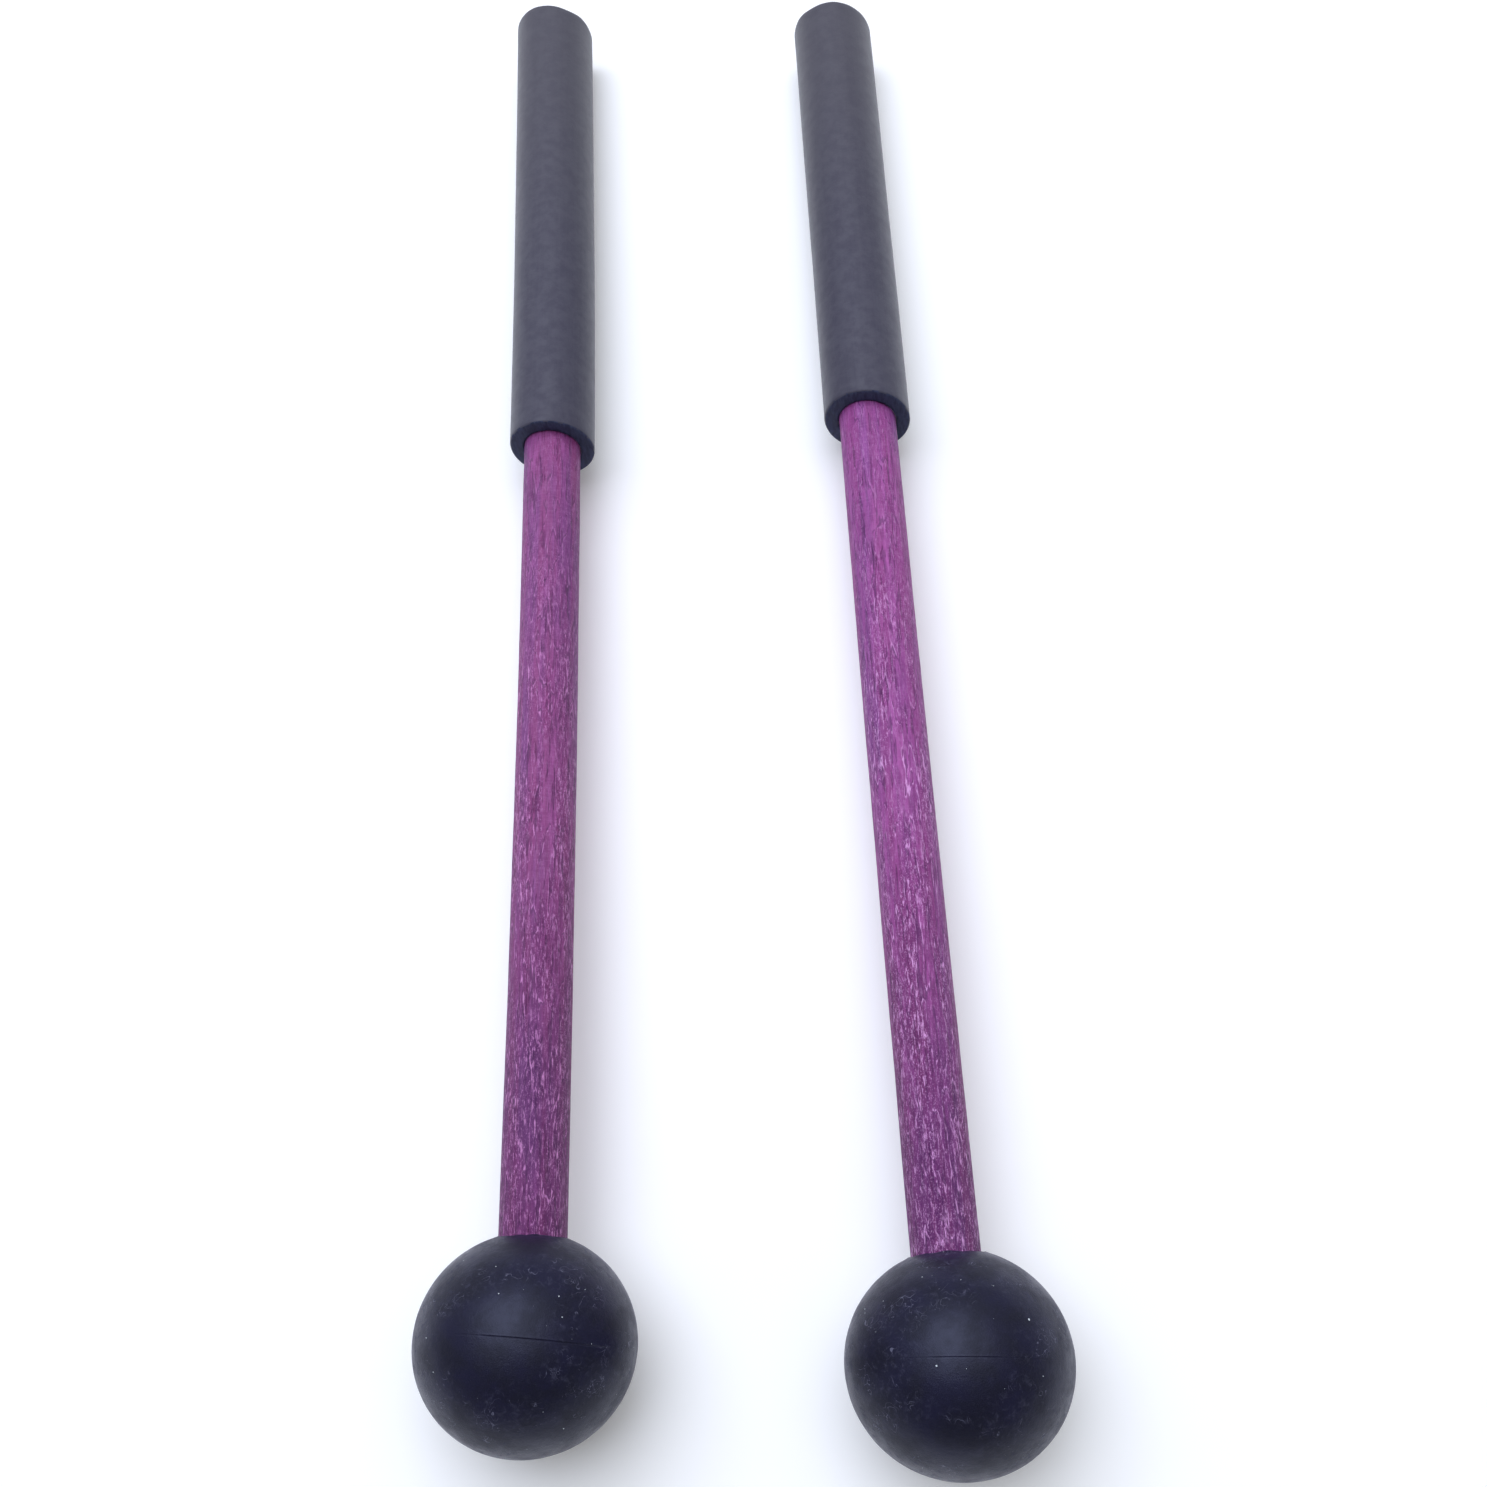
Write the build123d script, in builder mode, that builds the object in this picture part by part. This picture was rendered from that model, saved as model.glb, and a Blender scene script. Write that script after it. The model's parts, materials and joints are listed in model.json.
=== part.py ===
from build123d import *
from math import asin, atan2, cos, hypot, radians, sin, sqrt
import os

# A pair of percussion mallets lying side by side on a flat surface. Each one is a wooden dowel
# with a moulded rubber ball glued on one end and a length of rubber tube pushed over the other.
# Millimetres. X runs across the pair, +Y runs from the balls to the grips, Z is up, and the
# surface they lie on is Z = 0. The origin is under the middle of the pair.

# Dowel, the same in both mallets
dowel_diameter = 7.0
dowel_length = 181.0
dowel_end_chamfer = 0.6
dowel_past_ball_centre = 4.0  # the dowel's end lies this far beyond the middle of the ball

# Rubber ball
ball_diameter = 21.8
socket_diameter = 7.2
glue_pad_thickness = 0.5  # glue between the dowel's end and the bottom of the socket
socket_mouth_chamfer = 0.35
parting_groove_width = 0.24
parting_groove_depth = 0.1

# Rubber tube that makes the grip
grip_diameter = 10.6
grip_edge_radius = 0.25

# How the pair lies
spacing = 41.7  # between the two balls' centres, across the pair
right_ball_lead = 3.3  # the right ball lies this far in front of the left one

# What differs between the two: the bare wood between ball and grip, the grip's own length, and
# the heading in degrees away from +Y (towards +X).
mallets = {
    "left": {"bare_wood": 96.0, "grip_length": 71.5, "heading": 0.0},
    "right": {"bare_wood": 100.2, "grip_length": 66.5, "heading": -0.7},
}

dowel_radius = dowel_diameter / 2
dowel_near_end = -dowel_past_ball_centre
dowel_far_end = dowel_near_end + dowel_length
ball_radius = ball_diameter / 2
socket_radius = socket_diameter / 2
grip_radius = grip_diameter / 2
socket_bottom = dowel_near_end - glue_pad_thickness
socket_mouth = sqrt(ball_radius**2 - socket_radius**2)
chamfer_mouth_radius = socket_radius + socket_mouth_chamfer
chamfer_mouth = sqrt(ball_radius**2 - chamfer_mouth_radius**2)
chamfer_bottom = chamfer_mouth - socket_mouth_chamfer


def grip_start(mallet):
    """Distance along the axis from the ball's centre to the grip's near end."""
    return ball_radius + mallet["bare_wood"]


def grip_end(mallet):
    """Distance along the axis from the ball's centre to the grip's far end."""
    return grip_start(mallet) + mallet["grip_length"]


def droop(mallet):
    """Angle in radians below level at which both the ball and the grip's far end touch down."""
    reach = grip_end(mallet) - grip_edge_radius
    return asin(ball_radius / hypot(reach, grip_radius)) - atan2(grip_radius, reach)


def axis_direction(mallet):
    """Unit vector along the dowel, from the ball to the grip."""
    level = cos(droop(mallet))
    heading = radians(mallet["heading"])
    return Vector(level * sin(heading), level * cos(heading), -sin(droop(mallet)))


def ball_centre(side):
    """Centre of one ball, with the pair's outline centred on the origin."""
    left, right = mallets["left"], mallets["right"]
    front = -right_ball_lead - ball_radius
    left_back = grip_end(left) * axis_direction(left).Y
    right_back = grip_end(right) * axis_direction(right).Y - right_ball_lead
    middle = (front + max(left_back, right_back)) / 2
    if side == "left":
        return Vector(-spacing / 2, -middle, ball_radius)
    return Vector(spacing / 2, -right_ball_lead - middle, ball_radius)


def profile_plane(side):
    """Plane through a mallet's axis: local X is the radius, local Y runs along the axis."""
    along = axis_direction(mallets[side])
    radial = along.cross(Vector(0, 0, 1)).normalized()
    return Plane(origin=ball_centre(side), x_dir=radial, z_dir=radial.cross(along))


def turning_axis(side):
    """The mallet's own axis, from the ball's centre to the grip."""
    return Axis(ball_centre(side), axis_direction(mallets[side]))


def make_dowel(side):
    """Straight dowel with a small chamfer on each end; the far one stops just inside the grip."""
    chamfered = dowel_radius - dowel_end_chamfer
    with BuildPart() as dowel:
        with BuildSketch(profile_plane(side)):
            with BuildLine():
                Polyline(
                    (0, dowel_near_end),
                    (chamfered, dowel_near_end),
                    (dowel_radius, dowel_near_end + dowel_end_chamfer),
                    (dowel_radius, dowel_far_end - dowel_end_chamfer),
                    (chamfered, dowel_far_end),
                    (0, dowel_far_end),
                    close=True,
                )
            make_face()
        revolve(axis=turning_axis(side))
    return dowel


def make_ball(side):
    """Solid ball with a blind socket, a chamfered mouth and a parting groove round its middle."""
    groove_half = parting_groove_width / 2
    groove_edge = sqrt(ball_radius**2 - groove_half**2)
    with BuildPart() as ball:
        with BuildSketch(profile_plane(side)):
            with BuildLine():
                Line((0, socket_bottom), (0, -ball_radius))
                RadiusArc((0, -ball_radius), (groove_edge, -groove_half), -ball_radius)
                Line((groove_edge, -groove_half), (ball_radius - parting_groove_depth, 0))
                Line((ball_radius - parting_groove_depth, 0), (groove_edge, groove_half))
                RadiusArc(
                    (groove_edge, groove_half),
                    (chamfer_mouth_radius, chamfer_mouth),
                    -ball_radius,
                )
                Polyline(
                    (chamfer_mouth_radius, chamfer_mouth),
                    (socket_radius, chamfer_bottom),
                    (socket_radius, socket_bottom),
                    (0, socket_bottom),
                )
            make_face()
        revolve(axis=turning_axis(side))
    return ball


def make_glue(side):
    """Cured glue: a thin sleeve round the dowel, filling the socket's bottom round its end."""
    chamfered = dowel_radius - dowel_end_chamfer
    with BuildPart() as glue:
        with BuildSketch(profile_plane(side)):
            with BuildLine():
                Polyline(
                    (0, socket_bottom),
                    (socket_radius, socket_bottom),
                    (socket_radius, chamfer_bottom),
                    (dowel_radius, chamfer_bottom),
                    (dowel_radius, dowel_near_end + dowel_end_chamfer),
                    (chamfered, dowel_near_end),
                    (0, dowel_near_end),
                    close=True,
                )
            make_face()
        revolve(axis=turning_axis(side))
    return glue


def make_grip(side):
    """Tube open at both ends, its bore tight on the dowel and its outer edges eased."""
    mallet = mallets[side]
    with BuildPart() as grip:
        with BuildSketch(Plane(turning_axis(side).location).offset(grip_start(mallet))):
            Circle(grip_radius)
            Circle(dowel_radius, mode=Mode.SUBTRACT)
        extrude(amount=mallet["grip_length"])
        round_edges = grip.edges().filter_by(GeomType.CIRCLE)
        outer_edges = round_edges.filter_by(lambda edge: edge.radius > dowel_radius)
        fillet(outer_edges, grip_edge_radius)
    return grip


makers = {"dowel": make_dowel, "ball": make_ball, "glue": make_glue, "grip": make_grip}

os.makedirs("parts", exist_ok=True)
for side in mallets:
    for piece_name, make_piece in makers.items():
        piece = make_piece(side)
        piece.part.label = f"{side}_{piece_name}"
        export_step(piece.part, f"parts/{side}_{piece_name}.step")
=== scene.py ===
import json
from math import asin, ceil, cos, degrees, exp, pi, radians, sin, sqrt

import bmesh
import bpy
from mathutils import Euler, Matrix, Vector, noise


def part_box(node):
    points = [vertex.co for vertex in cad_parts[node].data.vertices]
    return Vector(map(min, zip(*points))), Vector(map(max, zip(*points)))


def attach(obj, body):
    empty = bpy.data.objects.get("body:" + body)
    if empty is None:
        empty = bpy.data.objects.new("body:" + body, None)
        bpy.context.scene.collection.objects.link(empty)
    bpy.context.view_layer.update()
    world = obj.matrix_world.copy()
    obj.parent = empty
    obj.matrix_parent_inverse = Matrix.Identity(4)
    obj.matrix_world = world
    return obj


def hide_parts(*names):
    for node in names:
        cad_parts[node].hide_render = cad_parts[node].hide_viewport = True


# Looks for a pair of percussion mallets: purple dyed dowels, dark rubber balls, rubber tube grips.
# Every mallet has a frame of its own: the origin is the ball's centre, local X points across to
# the right, local Y runs along the dowel to the grip, and local Z points up. Shapes and materials
# are worked out in millimetres in that frame. The lights, floor and camera are in metres.

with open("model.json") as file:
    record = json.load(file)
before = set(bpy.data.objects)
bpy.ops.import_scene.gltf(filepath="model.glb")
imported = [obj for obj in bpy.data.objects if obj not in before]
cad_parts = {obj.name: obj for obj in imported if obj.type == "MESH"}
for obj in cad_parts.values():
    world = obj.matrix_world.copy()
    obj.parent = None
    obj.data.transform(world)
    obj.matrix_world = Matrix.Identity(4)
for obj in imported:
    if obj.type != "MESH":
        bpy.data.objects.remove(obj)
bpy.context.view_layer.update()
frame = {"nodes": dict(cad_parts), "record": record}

mm = 0.001
sides = ("left", "right")

# How each mallet differs from its straight, square-cut CAD pieces. A slant is how far the cut
# leans towards the ball for each millimetre to the right, and for each millimetre up.
bow = {"left": 0.55, "right": -0.25}  # sideways, half way along
tip_lean = {"left": -0.36, "right": -0.28}  # sideways, at the grip's far end
far_growth = {"left": 0.5, "right": 0.25}  # the tube's far end was cut this much longer
near_slant = {"left": (0.063, -0.035), "right": (0.108, -0.089)}
far_slant = {"left": (0.1, 0.02), "right": (0.1, -0.03)}
off_centre = {"left": -0.35, "right": 0.25}  # the ball's middle, to the right of its socket's
parting_tilt = {"left": -0.11, "right": -0.05}  # of the parting line, per mm to the right
seed = {"left": 3.0, "right": 41.0}  # shifts the noise, so that the two don't wear alike

# In the names below, a row is the gap between two rings of vertices along the dowel.
rounding_turns = (0, 30, 60, 90)  # the steps, in degrees, round an eased edge

# Dowel
fibre_relief = 0.03
dowel_segments = 180
bare_row = 0.3
hidden_row = 4.0
bare_past_mouth = 1.5  # how far the fine rows go on inside the ball
bare_past_lip = 2.0  # and inside the grip
end_chamfer = 0.5

# Ball
ball_segments = 256
latitude_step = 1.3  # degrees
parting_band = 7.0  # degrees of latitude each side of the middle with finer steps
parting_step = 0.16  # degrees
parting_width = 0.055
parting_depth = {"left": 0.07, "right": 0.03}
parting_span = {"left": (-0.9, 8.0), "right": (-2.2, 2.4)}  # it is worn away outside this
parting_fade = 1.5  # over this length at each end of that span
parting_worn = 0.15  # the share of its depth that is left outside the span
flash_height = 0.025
flash_place = 2.2  # beside the parting line, in its widths
flash_width = 1.6  # likewise
parting_shift = 0.23  # of the parting line, away from the grip
ball_relief = 0.012
out_of_round = (1.015, 0.98, 1.0)  # moulded balls are a little squat along the dowel
mouth_rounding = 0.35
mouth_lip = 0.2  # of straight socket below the rounding
socket_row = 2.0
mouth_relief = 0.12
mouth_reach = 1.5  # how far out the mouth is uneven, in its rounding radii

# Grip
grip_segments = 160
grip_row = 0.5
edge_radius = 0.28
bore_flare = 0.16
face_rows = 7
grip_relief = 0.035
cut_relief = 0.035
far_unevenness = 0.3  # of the far cut, which isn't flat
far_share = 0.1  # the part of the tube's length that the far cut's growth is spread over

# Floor and surround
floor_size = 6.0
floor_gap = 0.00005  # below the pieces, so that no faces share a plane
surround_turn = 0.7  # size of a direction's Y beyond which the surround's light is steady
surround_at_balls = 0.15
surround_at_grips = 0.42

# Camera, placed from the left ball's centre across and along, and from the floor up
camera_place = (0.032787, -0.007912, 0.169708)
camera_angles = (20.973, 4.26, -1.931)  # degrees
camera_lens = 37.404
camera_shift = 0.0548


# ---------------------------------------------------------------- where things are


def mount_axis(side):
    """Direction of a mallet's dowel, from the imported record."""
    for mount in frame["record"]["mounts"]:
        if mount["name"] == f"{side}_grip_sleeve":
            return Vector(mount["axis"]).normalized()


def spans(node, place):
    """Along-dowel range and largest radius of a CAD node, in mm in the mallet's frame."""
    inverse = place.inverted()
    points = [inverse @ vertex.co / mm for vertex in frame["nodes"][node].data.vertices]
    reach = [point.y for point in points]
    return min(reach), max(reach), max(Vector((point.x, point.z)).length for point in points)


def read_mallet(side):
    """A mallet's place and its measures, taken from the CAD model."""
    along = mount_axis(side)
    across = along.cross(Vector((0, 0, 1))).normalized()
    up = across.cross(along)
    low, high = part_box(f"{side}_ball")
    ball_radius = (high.z - low.z) / 2
    centre = Vector(((low.x + high.x) / 2, low.y + ball_radius, (low.z + high.z) / 2))
    turn = Matrix((across, along, up)).transposed().to_4x4()
    place = Matrix.Translation(centre) @ turn
    dowel_near, dowel_far, dowel_radius = spans(f"{side}_dowel", place)
    grip_near, grip_far, grip_radius = spans(f"{side}_grip", place)
    socket_bottom, _, socket_radius = spans(f"{side}_glue", place)
    return {
        "side": side,
        "place": place,
        "ball_radius": ball_radius / mm,
        "dowel": (dowel_near, dowel_far),
        "dowel_radius": dowel_radius,
        "grip": (grip_near, grip_far),
        "grip_radius": grip_radius,
        "socket_bottom": socket_bottom,
        "socket_radius": socket_radius,
        "seed": seed[side],
    }


# ---------------------------------------------------------------- mesh helpers


def spread(start, end, step):
    """Evenly spaced values from start to end, no further apart than step."""
    count = max(1, ceil(abs(end - start) / step))
    return [start + (end - start) * i / count for i in range(count + 1)]


def bend(mallet, along):
    """How far the dowel's axis has moved to the right at this distance from the ball's centre."""
    share = max(0, along / mallet["grip"][1])
    return 4 * bow[mallet["side"]] * share * (1 - share) + tip_lean[mallet["side"]] * share**4


def lathe(name, mallet, profile, segments, shape, closed=False):
    """A turned piece: a profile of (radius, along) points, each moved round by shape()."""
    work = bmesh.new()
    rings = []
    for radius, along in profile:
        count = segments if radius else 1
        angles = [2 * pi * i / count for i in range(count)]
        rings.append([work.verts.new(shape(radius, along, angle) * mm) for angle in angles])
    pairs = list(zip(rings, rings[1:]))
    if closed:
        pairs.append((rings[-1], rings[0]))
    for near, far in pairs:
        for i in range(segments):
            j = (i + 1) % segments
            corners = (near[i % len(near)], far[i % len(far)], far[j % len(far)], near[j % len(near)])
            work.faces.new(dict.fromkeys(corners))
    bmesh.ops.recalc_face_normals(work, faces=work.faces)
    mesh = bpy.data.meshes.new(name)
    work.to_mesh(mesh)
    work.free()
    mesh.shade_smooth()
    piece = bpy.data.objects.new(name, mesh)
    bpy.context.scene.collection.objects.link(piece)
    piece.matrix_world = mallet["place"]
    return piece


def around(radius, along, angle):
    """The point at this radius, distance and angle, where angle 0 is to the right, then up."""
    return Vector((radius * cos(angle), along, radius * sin(angle)))


def rough(point, scale, stretch, mallet, octaves=3):
    """Smooth noise from about -1 to 1 that is longer along the dowel by stretch."""
    spot = Vector((point.x * scale, point.y * scale / stretch, point.z * scale))
    return noise.fractal(spot + Vector((mallet["seed"],) * 3), 1.0, 2.0, octaves)


def paint_ends(piece, steepness=0.7):
    """Gives the faces that look along the dowel the piece's second material."""
    for face in piece.data.polygons:
        face.material_index = 1 if abs(face.normal.y) > steepness else 0


def place_piece(piece, mallet, node, materials):
    """Finishes a piece: its materials, its body and the CAD node it stands for."""
    for material in materials:
        piece.data.materials.append(material)
    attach(piece, f"{mallet['side']}_mallet")
    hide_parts(node)


# ---------------------------------------------------------------- pieces


def make_dowel(mallet, wood, end_grain):
    """Bare dowel with raised fibres, straight but for a slight bow."""
    near, far = mallet["dowel"]
    radius = mallet["dowel_radius"]
    mouth = sqrt(mallet["ball_radius"] ** 2 - mallet["socket_radius"] ** 2)
    bare_from = mouth - bare_past_mouth
    bare_to = mallet["grip"][0] + bare_past_lip
    stations = spread(near + end_chamfer, bare_from, hidden_row)[:-1]
    stations += spread(bare_from, bare_to, bare_row)[:-1]
    stations += spread(bare_to, far - end_chamfer, hidden_row)
    profile = [(0, near), (radius - end_chamfer, near)]
    profile += [(radius, along) for along in stations]
    profile += [(radius - end_chamfer, far), (radius / 2, far), (0, far)]

    def shape(profile_radius, along, angle):
        point = around(profile_radius, along, angle)
        fibres = rough(point, 2.2, 22, mallet) + 0.6 * rough(point, 0.5, 8, mallet)
        grown = profile_radius + fibre_relief * (fibres - 0.5) * (profile_radius > radius / 2)
        return around(grown, along, angle) + Vector((bend(mallet, along), 0, 0))

    name = f"{mallet['side']}_dyed_dowel"
    piece = lathe(name, mallet, profile, dowel_segments, shape)
    paint_ends(piece)
    place_piece(piece, mallet, f"{mallet['side']}_dowel", [wood, end_grain])


def make_ball(mallet, rubber):
    """Moulded ball with its parting line, a soft-edged socket mouth and a blind socket."""
    radius = mallet["ball_radius"]
    socket = mallet["socket_radius"]
    mouth_latitude = degrees(pi / 2 - asin((socket + mouth_rounding) / radius))
    latitudes = spread(-90, -parting_band, latitude_step)[1:-1]
    latitudes += spread(-parting_band, parting_band, parting_step)[:-1]
    latitudes += spread(parting_band, mouth_latitude, latitude_step)
    profile = [(0, -radius)]
    profile += [(radius * cos(radians(t)), radius * sin(radians(t))) for t in latitudes]
    edge_along = radius * sin(radians(mouth_latitude))
    for turn in rounding_turns[1:]:
        drop = mouth_rounding * (1 - cos(radians(turn)))
        inward = mouth_rounding * sin(radians(turn))
        profile.append((socket + mouth_rounding - inward, edge_along - drop))
    socket_top = edge_along - mouth_rounding - mouth_lip
    profile += [(socket, along) for along in spread(socket_top, mallet["socket_bottom"], socket_row)]
    profile.append((0, mallet["socket_bottom"]))

    def shape(profile_radius, along, angle):
        point = around(profile_radius, along, angle)
        if profile_radius <= socket and along > mallet["socket_bottom"] - 0.01:
            return point
        from_line = along + parting_shift - parting_tilt[mallet["side"]] * point.x
        start, end = parting_span[mallet["side"]]
        inside = min(point.x - start, end - point.x)
        kept = min(1, max(parting_worn, 1 + inside / parting_fade))
        broken = max(0, 0.8 + 0.4 * rough(point, 0.25, 1, mallet)) * kept
        groove = parting_depth[mallet["side"]] * broken * exp(-((from_line / parting_width) ** 2))
        beside = (from_line / parting_width - flash_place) / flash_width
        flash = flash_height * broken * exp(-(beside**2))
        dents = ball_relief * rough(point, 0.45, 1, mallet, octaves=4)
        point *= 1 + (flash + dents - groove) / radius
        shift = off_centre[mallet["side"]]
        if along > 0:
            # The mouth stays round the dowel, so here the ball's middle moves under it instead.
            left_over = shift * (radius - profile_radius) / (radius - socket)
            shift -= left_over
            slice_square = radius**2 - point.z**2
            point.y -= sqrt(max(0, slice_square - point.x**2))
            point.y += sqrt(max(0, slice_square - (point.x - left_over) ** 2))
            if profile_radius < socket + mouth_reach * mouth_rounding:
                point.y += mouth_relief * rough(point, 0.6, 1, mallet)
        point = Vector(a * b for a, b in zip(point, out_of_round))
        return point + Vector((shift, 0, 0))

    piece = lathe(f"{mallet['side']}_rubber_ball", mallet, profile, ball_segments, shape)
    place_piece(piece, mallet, f"{mallet['side']}_ball", [rubber])


def grip_profile(mallet):
    """Section of the tube, once round: near edge, outside, far edge, far face, bore, near face."""
    near, far = mallet["grip"]
    outer = mallet["grip_radius"]
    bore = mallet["dowel_radius"]
    turns = [radians(turn) for turn in rounding_turns]
    profile = []
    for turn in turns:
        inset = edge_radius * (1 - sin(turn))
        profile.append((outer - inset, near + edge_radius * (1 - cos(turn))))
    profile += [(outer, along) for along in spread(near + edge_radius, far - edge_radius, grip_row)[1:-1]]
    for turn in reversed(turns):
        inset = edge_radius * (1 - sin(turn))
        profile.append((outer - inset, far - edge_radius * (1 - cos(turn))))
    face = spread(outer - edge_radius, bore + bore_flare, (outer - bore) / face_rows)
    profile += [(radius, far) for radius in face[1:]]
    profile += [(bore, along) for along in spread(far - bore_flare, near + bore_flare, hidden_row)]
    profile += [(radius, near) for radius in reversed(face[1:])]
    return profile


def make_grip(mallet, rubber, cut_rubber):
    """Rubber tube, cut a little out of square at both ends and not perfectly even."""
    near, far = mallet["grip"]
    outer = mallet["grip_radius"]
    bore = mallet["dowel_radius"]

    def shape(profile_radius, along, angle):
        point = around(profile_radius, along, angle)
        waves = grip_relief * rough(point, 0.12, 3, mallet, octaves=2)
        swelling = waves * (profile_radius - bore) / (outer - bore)
        share = (along - near) / (far - near)
        near_x, near_z = near_slant[mallet["side"]]
        far_x, far_z = far_slant[mallet["side"]]
        slant_x = near_x + (far_x - near_x) * share
        slant_z = near_z + (far_z - near_z) * share
        at_cut = min(along - near, far - along) < edge_radius / 2
        knife = cut_relief * rough(point, 0.9, 1, mallet) if at_cut else 0
        moved = around(profile_radius + swelling, along, angle)
        moved.y -= slant_x * point.x + slant_z * point.z - knife
        at_far = max(0, 1 - (1 - share) / far_share)
        moved.y += at_far * far_growth[mallet["side"]]
        moved.y += at_far * far_unevenness * rough(point, 0.2, 9, mallet, 2)
        moved.x += bend(mallet, along)
        return moved

    name = f"{mallet['side']}_tube_grip"
    piece = lathe(name, mallet, grip_profile(mallet), grip_segments, shape, closed=True)
    paint_ends(piece)
    place_piece(piece, mallet, f"{mallet['side']}_grip", [rubber, cut_rubber])


# ---------------------------------------------------------------- materials


def colour(red, green, blue):
    """A colour given on the 0 to 255 screen scale, as Blender's linear RGBA."""
    linear = [((c / 255 + 0.055) / 1.055) ** 2.4 if c > 10 else c / 255 / 12.92 for c in (red, green, blue)]
    return (*linear, 1)


class Shader:
    """A material's node tree, with short calls for the nodes that the materials here use."""

    def __init__(self, name, **constants):
        self.material = bpy.data.materials.new(name)
        self.material.use_nodes = True
        self.tree = self.material.node_tree
        self.surface = self.tree.nodes["Principled BSDF"]
        for socket, value in constants.items():
            self.surface.inputs[socket.replace("_", " ")].default_value = value
        position = self.add("ShaderNodeTexCoord").outputs["Object"]
        self.spot = self.scaled((1 / mm, 1 / mm, 1 / mm), position)

    def add(self, kind, inputs=None, **settings):
        """Adds a node, with its settings, and its inputs linked or set."""
        node = self.tree.nodes.new(kind)
        for key, value in settings.items():
            setattr(node, key, value)
        for socket, value in (inputs or {}).items():
            self.give(node.inputs[socket], value)
        return node

    def give(self, socket, value):
        """Links a socket to another node's output, or sets it."""
        if isinstance(value, bpy.types.NodeSocket):
            self.tree.links.new(value, socket)
        else:
            socket.default_value = value

    def scaled(self, factors, position=None):
        """A position, in mm unless another is given, multiplied axis by axis."""
        inputs = {0: self.spot if position is None else position, 1: factors}
        return self.add("ShaderNodeVectorMath", inputs, operation="MULTIPLY").outputs[0]

    def moved(self, offset, position=None):
        """A position, in mm unless another is given, moved by an offset."""
        inputs = {0: self.spot if position is None else position, 1: offset}
        return self.add("ShaderNodeVectorMath", inputs, operation="ADD").outputs[0]

    def reach(self, axis):
        """How far along one axis the position is, in mm."""
        return self.add("ShaderNodeSeparateXYZ", {0: self.spot}).outputs[axis]

    def noise(self, position, scale, detail=3, roughness=0.55, distortion=0.0):
        """Noise from 0 to 1, with about `scale` blobs to the millimetre."""
        inputs = {"Vector": position, "Scale": scale, "Detail": detail}
        inputs |= {"Roughness": roughness, "Distortion": distortion}
        return self.add("ShaderNodeTexNoise", inputs).outputs[0]

    def between(self, value, low, high, at_low=0.0, at_high=1.0):
        """Takes low..high to at_low..at_high with soft shoulders, and holds it there outside."""
        inputs = {0: value, 1: low, 2: high, 3: at_low, 4: at_high}
        return self.add("ShaderNodeMapRange", inputs, interpolation_type="SMOOTHSTEP").outputs[0]

    def calc(self, operation, first, second=0.0):
        """One sum on numbers."""
        return self.add("ShaderNodeMath", {0: first, 1: second}, operation=operation).outputs[0]

    def vein(self, noise, level, edge, core):
        """Thin lines where noise passes a level: 1 within core of it, 0 further away than edge."""
        away = self.calc("ABSOLUTE", self.calc("SUBTRACT", noise, level))
        return self.between(away, edge, core)

    def mix(self, share, first, second, blend="MIX"):
        """Mixes two colours."""
        inputs = {0: share, 6: first, 7: second}
        node = self.add("ShaderNodeMix", inputs, data_type="RGBA", blend_type=blend)
        return node.outputs[2]

    def bump(self, height, depth, normal=None):
        """A normal that makes height look depth mm deep."""
        inputs = {"Height": height, "Distance": depth * mm}
        if normal is not None:
            inputs["Normal"] = normal
        return self.add("ShaderNodeBump", inputs).outputs[0]

    def finish(self, base_color, roughness, normal):
        """Links the worked-out colour, roughness and normal to the surface."""
        self.give(self.surface.inputs["Base Color"], base_color)
        self.give(self.surface.inputs["Roughness"], roughness)
        self.give(self.surface.inputs["Normal"], normal)
        return self.material


# The two dowels took the dye a little differently: the right one is brighter and bluer. Each side also
# gives its painted highlight colour, the strength of its painted glints and its painted shade towards the
# ball.
dyes = {
    "left": {
        "deep": colour(111, 40, 101),
        "light": colour(157, 75, 142),
        "violet": colour(114, 62, 127),
        "magenta": colour(137, 52, 113),
        "painted_highlight": colour(226, 152, 216),
        "sparkle": 0.4,
        "rough_foot": 0.6,
        "pore_and_painted_shade": colour(74, 26, 78),
        "painted_shade_at_ball": (0.6, 0.47, 0.65, 1),
    },
    "right": {
        "deep": colour(118, 40, 111),
        "light": colour(176, 86, 165),
        "violet": colour(122, 63, 138),
        "magenta": colour(144, 56, 127),
        "painted_highlight": colour(240, 176, 238),
        "sparkle": 0.55,
        "rough_foot": 0.65,
        "pore_and_painted_shade": colour(80, 28, 88),
        "painted_shade_at_ball": (0.56, 0.37, 0.54, 1),
    },
}


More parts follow.
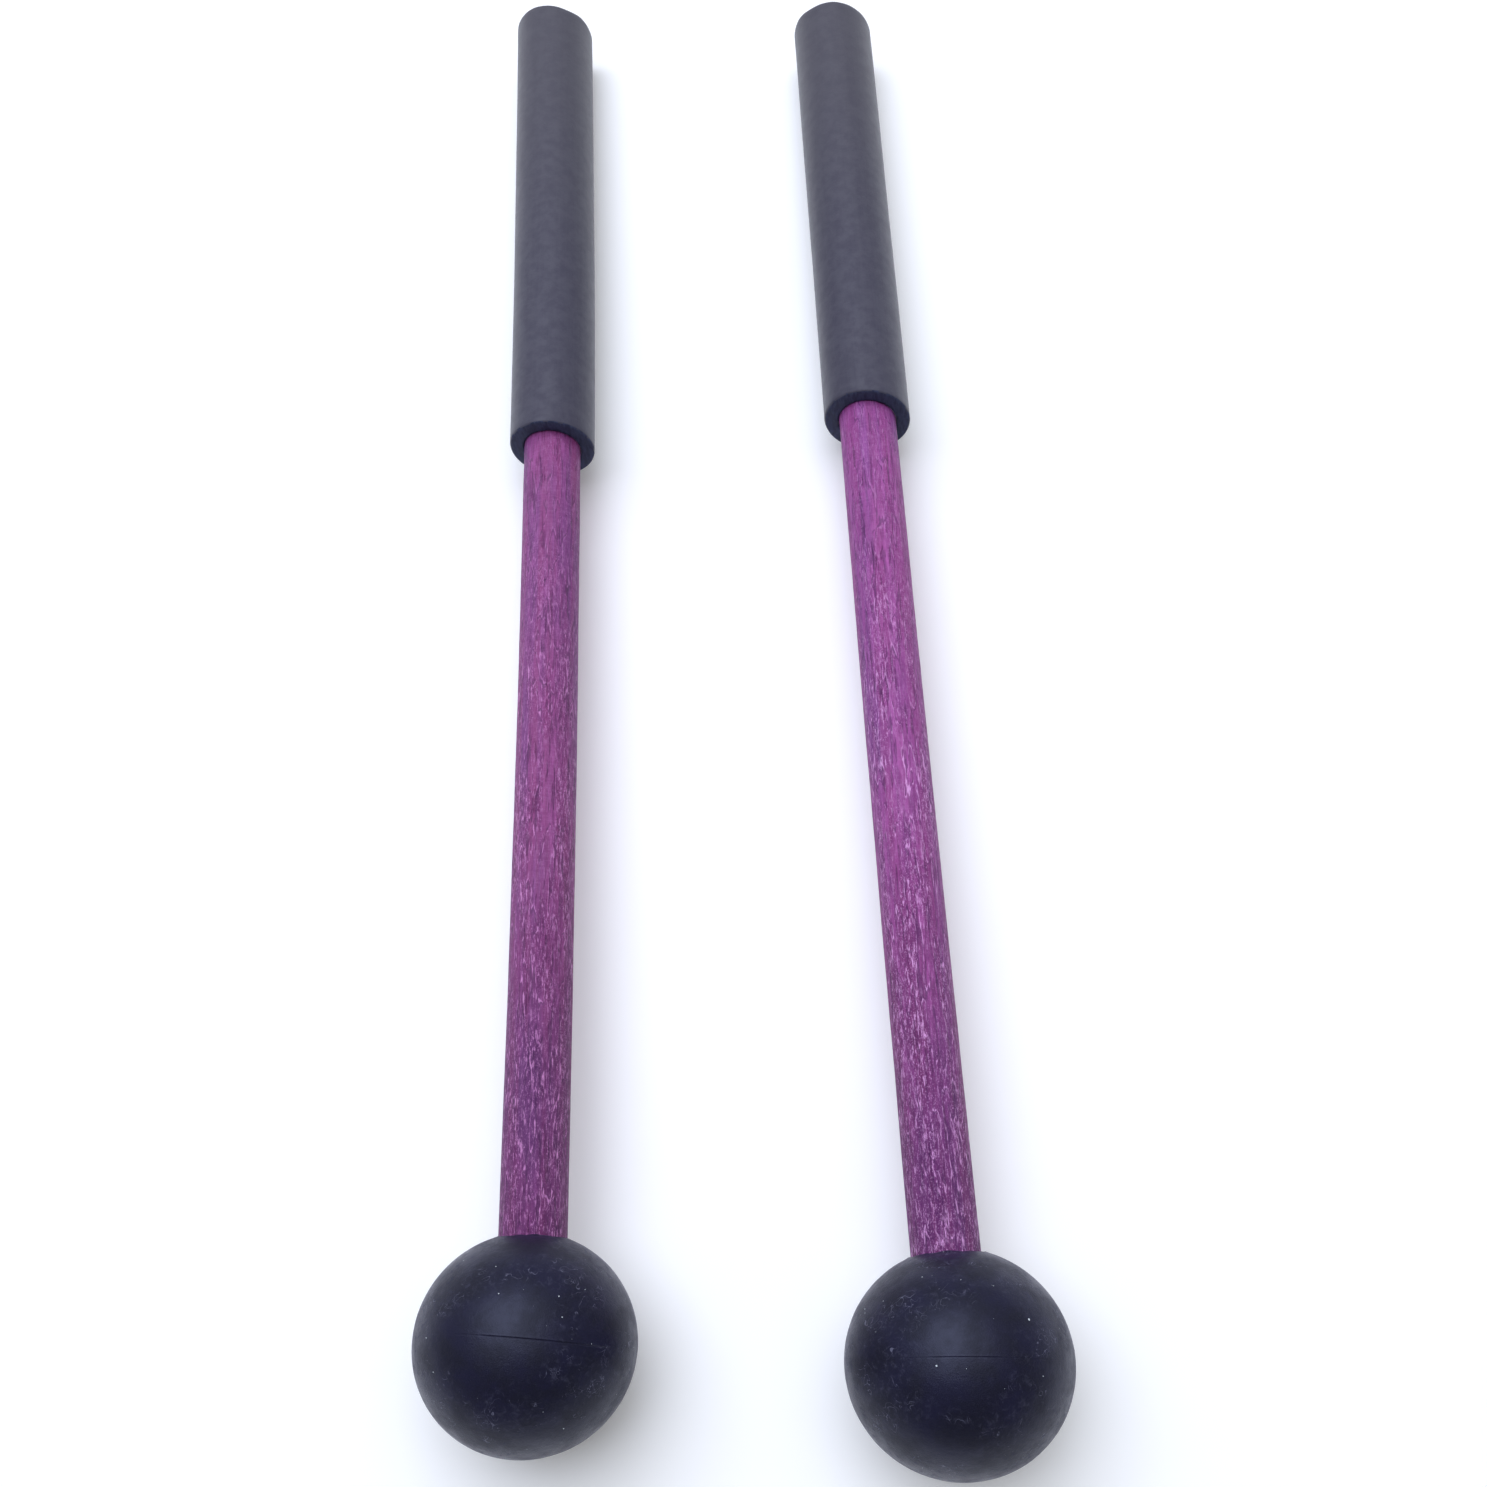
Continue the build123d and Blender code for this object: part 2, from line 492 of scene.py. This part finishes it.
def dyed_wood(mallet):
    """Purple dye soaked into bare wood: fibres, open pores, raised strokes and uneven dye, with painted
    highlights and painted shade on the fibres and painted shade towards the ball.
    """
    dye = dyes[mallet["side"]]
    shader = Shader(f"{mallet['side']}_dyed_wood", Specular_IOR_Level=0.4)
    seeded = shader.moved((mallet["seed"],) * 3)
    broad = shader.noise(shader.scaled((1, 1 / 5, 1), seeded), 0.22, 3, 0.5)
    bands = shader.noise(shader.scaled((1, 1 / 40, 1), seeded), 0.9, 3, 0.6)
    fibres = shader.noise(shader.scaled((1, 1 / 9, 1), seeded), 2.4, 6, 0.72)
    strokes = shader.noise(shader.scaled((1, 1 / 5, 1), seeded), 4.6, 5, 0.78, 0.1)
    glints = shader.noise(shader.scaled((1, 1 / 2, 1), seeded), 9.0, 2, 0.6)
    columns = shader.noise(shader.scaled((1, 1 / 7, 1), seeded), 0.6, 2, 0.5)
    pores = shader.noise(shader.scaled((1, 1 / 14, 1), seeded), 2.4, 3, 0.6)
    ridges = shader.noise(shader.scaled((1, 1 / 8, 1), seeded), 0.9, 2, 0.5, 0.4)
    cross = shader.noise(shader.scaled((1 / 4, 1, 1 / 4), seeded), 3.2, 3, 0.6)

    # The dye: deep and light along the fibres, in violet and magenta patches. Towards the ball the colour
    # is multiplied darker, which is painted shade.
    tone = shader.mix(shader.between(fibres, 0.32, 0.68), dye["deep"], dye["light"])
    tone = shader.mix(shader.between(broad, 0.38, 0.66, 0, 0.55), tone, dye["violet"])
    tone = shader.mix(shader.between(bands, 0.42, 0.62, 0, 0.6), tone, dye["magenta"])
    tone = shader.mix(shader.between(cross, 0.4, 0.7, 0, 0.16), tone, colour(176, 112, 170))
    along = shader.reach("Y")
    # Painted shade: the colour is multiplied by a darker tint from 64 mm down to 14 mm from the ball's
    # centre.
    tone = shader.mix(shader.between(along, 64, 14), tone, dye["painted_shade_at_ball"], "MULTIPLY")

    # Raised fibres, painted with highlights on their strokes and with shade in the gaps between them. Hands
    # have smoothed them towards the grip, and they are thickest at the ball.
    unworn = shader.between(along, 60, 100, 1, 0.25)
    busy = shader.calc("MULTIPLY", shader.between(columns, 0.4, 0.58, 0.15, 1), unworn)
    busy = shader.calc("MAXIMUM", busy, shader.between(along, 50, 20, 0, dye["rough_foot"]))
    pale = shader.calc("MULTIPLY", shader.between(strokes, 0.53, 0.64), busy)
    dark = shader.calc("MULTIPLY", shader.between(strokes, 0.47, 0.36), busy)
    # Painted highlights on the raised strokes.
    tone = shader.mix(shader.calc("MULTIPLY", pale, 0.85), tone, dye["painted_highlight"])
    # Painted glints: small spots made paler, as if catching the light.
    glinting = shader.calc("MULTIPLY", shader.between(glints, 0.56, 0.7), busy)
    tone = shader.mix(shader.calc("MULTIPLY", glinting, dye["sparkle"]), tone, dye["painted_highlight"])
    # Painted shade in the gaps between the strokes, in the same colour as the real pores.
    tone = shader.mix(shader.calc("MULTIPLY", dark, 0.62), tone, dye["pore_and_painted_shade"])

    # Open pores, and the odd long lifted fibre in the grain, drawn as a painted highlight along its ridge
    # and painted shade in the groove beside it.
    lines = shader.between(pores, 0.41, 0.34)
    tone = shader.mix(shader.calc("MULTIPLY", lines, 0.4), tone, dye["pore_and_painted_shade"])
    # Painted shade in the groove beside a lifted fibre.
    groove = shader.vein(ridges, 0.525, 0.016, 0.006)
    tone = shader.mix(shader.calc("MULTIPLY", groove, 0.5), tone, dye["pore_and_painted_shade"])
    # Painted highlight along the lifted fibre's ridge.
    ridge = shader.calc("MULTIPLY", shader.vein(ridges, 0.5, 0.014, 0.004), unworn)
    painted_ridge_highlight = shader.calc("MULTIPLY", ridge, shader.between(strokes, 0.42, 0.56))
    tone = shader.mix(shader.calc("MULTIPLY", painted_ridge_highlight, 0.6), tone, dye["painted_highlight"])

    raised = shader.calc("MULTIPLY", strokes, shader.calc("ADD", busy, 0.3))
    height = shader.calc("ADD", raised, shader.calc("MULTIPLY", lines, -0.5))
    normal = shader.bump(height, 0.17)
    normal = shader.bump(glints, 0.03, normal)
    normal = shader.bump(fibres, 0.03, normal)
    normal = shader.bump(cross, 0.008, normal)
    roughness = shader.between(strokes, 0.3, 0.7, 0.7, 0.45)
    return shader.finish(tone, roughness, normal)


def end_grain_wood(mallet):
    """The dowel's sawn end: darker, since it drinks more dye, with open pores."""
    shader = Shader(f"{mallet['side']}_end_grain", Specular_IOR_Level=0.2)
    seeded = shader.moved((mallet["seed"],) * 3)
    pores = shader.noise(seeded, 5.0, 3, 0.6)
    rings = shader.noise(shader.scaled((0.4, 1, 1), seeded), 1.2, 2, 0.5, 0.4)
    tone = shader.mix(shader.between(rings, 0.4, 0.6), colour(84, 38, 92), colour(124, 62, 126))
    tone = shader.mix(shader.between(pores, 0.58, 0.66, 0, 0.7), tone, colour(48, 22, 56))
    return shader.finish(tone, shader.between(pores, 0.3, 0.7, 0.75, 0.9), shader.bump(pores, 0.05))


def ball_rubber(mallet):
    """Near-black moulded rubber with a blue cast, dusty and scuffed in places."""
    shader = Shader(
        f"{mallet['side']}_ball_rubber",
        Specular_IOR_Level=0.29,
        Specular_Tint=(0.75, 0.8, 1, 1),
        Sheen_Weight=0.04,
        Sheen_Tint=(0.35, 0.35, 1, 1),
        Sheen_Roughness=0.4,
    )
    seeded = shader.moved((mallet["seed"],) * 3)
    mottle = shader.noise(seeded, 0.3, 5, 0.6)
    grain = shader.noise(seeded, 7.0, 3, 0.6)
    dust = shader.noise(seeded, 1.6, 5, 0.7, 0.5)
    patches = shader.noise(shader.moved((9, 4, 2), seeded), 0.2, 2, 0.5)
    curls = shader.noise(shader.moved((5, 31, 8), seeded), 0.75, 1, 0.4, 1.8)
    lint_noise = shader.noise(seeded, 2.6, 1, 0.4)

    tone = shader.mix(shader.between(mottle, 0.35, 0.65), colour(20, 19, 34), colour(28, 27, 48))

    # Patches of dust, with less of it on the very top, and then curled scuffs and specks of lint.
    flanks = shader.between(shader.calc("ABSOLUTE", shader.reach("Z")), 10.4, 9.0, 0.2, 1)
    worn = shader.calc("MULTIPLY", shader.between(patches, 0.4, 0.56), flanks)
    dusty = shader.calc("MULTIPLY", shader.between(dust, 0.5, 0.72), worn)
    tone = shader.mix(shader.calc("MULTIPLY", dusty, 0.14), tone, colour(112, 112, 136))
    clusters = shader.noise(shader.moved((17, 3, 22), seeded), 0.5, 2, 0.5)
    scuffs = shader.calc("MULTIPLY", shader.vein(curls, 0.5, 0.014, 0.004), shader.between(worn, 0.3, 0.8))
    scuffs = shader.calc("MULTIPLY", scuffs, shader.between(clusters, 0.48, 0.6))
    tone = shader.mix(shader.calc("MULTIPLY", scuffs, 0.42), tone, colour(128, 128, 152))
    tone = shader.mix(shader.between(lint_noise, 0.8, 0.825), tone, colour(200, 208, 215))

    roughness = shader.between(mottle, 0.35, 0.65, 0.48, 0.34)
    roughness = shader.calc("ADD", roughness, shader.calc("MULTIPLY", dusty, 0.25))
    normal = shader.bump(grain, 0.014)
    normal = shader.bump(dust, 0.03, normal)
    return shader.finish(tone, roughness, normal)


def grip_rubber(mallet):
    """Matt slate grey tube, faintly violet, with extrusion lines, and painted light that makes it lighter
    towards its far end.
    """
    shader = Shader(
        f"{mallet['side']}_grip_rubber",
        Specular_IOR_Level=0.5,
        Sheen_Weight=0.25,
        Sheen_Roughness=0.5,
    )
    seeded = shader.moved((mallet["seed"] + 7,) * 3)
    mottle = shader.noise(seeded, 0.6, 6, 0.65)
    lines = shader.noise(shader.scaled((1, 1 / 60, 1), seeded), 2.0, 4, 0.6)
    grain = shader.noise(seeded, 5.0, 3, 0.6)
    tone = shader.mix(shader.between(mottle, 0.35, 0.65), colour(50, 47, 67), colour(58, 56, 74))
    tone = shader.mix(shader.between(lines, 0.4, 0.65, 0, 0.3), tone, colour(62, 61, 76))
    along = shader.reach("Y")  # painted light: the tube is made lighter towards its far end
    painted_far_end_light = shader.between(along, mallet["grip"][0] + 15, mallet["grip"][1], 0, 0.6)
    tone = shader.mix(painted_far_end_light, tone, colour(70, 67, 77))
    normal = shader.bump(lines, 0.012)
    normal = shader.bump(grain, 0.012, normal)
    return shader.finish(tone, shader.between(mottle, 0.3, 0.7, 0.7, 0.58), normal)


def cut_grip_rubber(mallet):
    """The tube's knife-cut ends: clean, darker and bluer than the outside."""
    shader = Shader(f"{mallet['side']}_cut_rubber", Specular_IOR_Level=0.3)
    seeded = shader.moved((mallet["seed"],) * 3)
    strokes = shader.noise(shader.scaled((1, 1, 0.25), seeded), 3.0, 4, 0.6)
    tone = shader.mix(shader.between(strokes, 0.35, 0.65), colour(40, 45, 70), colour(60, 66, 94))
    return shader.finish(tone, shader.between(strokes, 0.3, 0.7, 0.6, 0.75), shader.bump(strokes, 0.03))


def cured_glue():
    """Amber glue that shows, if at all, as a thin ring round the dowel in the socket's mouth."""
    shader = Shader("cured_glue_ring", Specular_IOR_Level=0.5)
    clouds = shader.noise(shader.spot, 1.5, 3, 0.6)
    tone = shader.mix(clouds, colour(60, 44, 36), colour(112, 84, 54))
    return shader.finish(tone, shader.between(clouds, 0.3, 0.7, 0.25, 0.45), shader.bump(clouds, 0.05))


# ---------------------------------------------------------------- floor, light and camera


def make_floor():
    """Plain white table top, far larger than the pair, so that its edges stay in the distance. It glows
    faintly, which is painted light that lifts the shadows on it.
    """
    bpy.ops.mesh.primitive_plane_add(size=floor_size, location=(0, 0, -floor_gap))
    floor = bpy.context.object
    floor.name = "studio_floor"
    # Painted light: the floor's emission of 0.12 fills in its shadows.
    shader = Shader("studio_white_glowing", Specular_IOR_Level=0.2, Emission_Strength=0.12)
    faint = shader.noise(shader.spot, 0.02, 3, 0.5)
    tone = shader.mix(faint, colour(243, 243, 244), colour(247, 247, 247))
    floor.data.materials.append(shader.finish(tone, 0.9, shader.bump(faint, 0.001)))


def area_light(name, location, aim, size, power, tint):
    """A soft square light that points at aim."""
    light = bpy.data.lights.new(name, "AREA")
    light.size = size
    light.energy = power
    light.color = tint
    lamp = bpy.data.objects.new(name, light)
    lamp.location = location
    lamp.rotation_euler = (Vector(aim) - Vector(location)).to_track_quat("-Z", "Y").to_euler()
    bpy.context.scene.collection.objects.link(lamp)


def make_lights():
    """A window-like light above, a wide soft ceiling, and a surround that is dimmer in front."""
    area_light(
        "window_light",
        location=(-0.14, 0.21, 0.78),
        aim=(0, -0.06, 0),
        size=0.8,
        power=5.6,
        tint=(0.74, 0.82, 1),
    )
    area_light(
        "ceiling_light",
        location=(-0.1, 0.75, 1.5),
        aim=(-0.1, 0.75, 0),
        size=2.2,
        power=15.4,
        tint=(1, 0.975, 0.93),
    )
    world = bpy.data.worlds.new("pale_surround")
    world.use_nodes = True
    nodes = world.node_tree.nodes
    links = world.node_tree.links
    direction = nodes.new("ShaderNodeTexCoord").outputs["Generated"]
    split = nodes.new("ShaderNodeSeparateXYZ")
    fade = nodes.new("ShaderNodeMapRange")
    fade.interpolation_type = "SMOOTHSTEP"
    turned = (-surround_turn, surround_turn, surround_at_balls, surround_at_grips)
    for socket, value in zip(fade.inputs[1:5], turned):
        socket.default_value = value
    links.new(direction, split.inputs[0])
    links.new(split.outputs["Y"], fade.inputs[0])
    links.new(fade.outputs[0], nodes["Background"].inputs["Strength"])
    nodes["Background"].inputs["Color"].default_value = (0.9, 0.94, 1, 1)
    bpy.context.scene.world = world
    bpy.context.scene.view_settings.view_transform = "Standard"


def make_camera(left):
    """Close above the balls, looking down along the mallets, so the balls come out large."""
    camera = bpy.data.cameras.new("camera")
    camera.lens = camera_lens
    camera.sensor_width = 36
    camera.shift_y = camera_shift
    camera.clip_start = 0.005
    view = bpy.data.objects.new("camera", camera)
    across, along, up = camera_place
    centre = left["place"].translation
    view.location = Vector((centre.x + across, centre.y + along, up))
    view.rotation_euler = Euler([radians(angle) for angle in camera_angles], "XYZ")
    bpy.context.scene.collection.objects.link(view)
    bpy.context.scene.camera = view


mallets = {side: read_mallet(side) for side in sides}
make_camera(mallets["left"])
make_floor()
make_lights()
glue = cured_glue()
for side, mallet in mallets.items():
    make_dowel(mallet, dyed_wood(mallet), end_grain_wood(mallet))
    make_ball(mallet, ball_rubber(mallet))
    make_grip(mallet, grip_rubber(mallet), cut_grip_rubber(mallet))
    glue_ring = frame["nodes"][f"{side}_glue"]
    glue_ring.data.materials.clear()
    glue_ring.data.materials.append(glue)
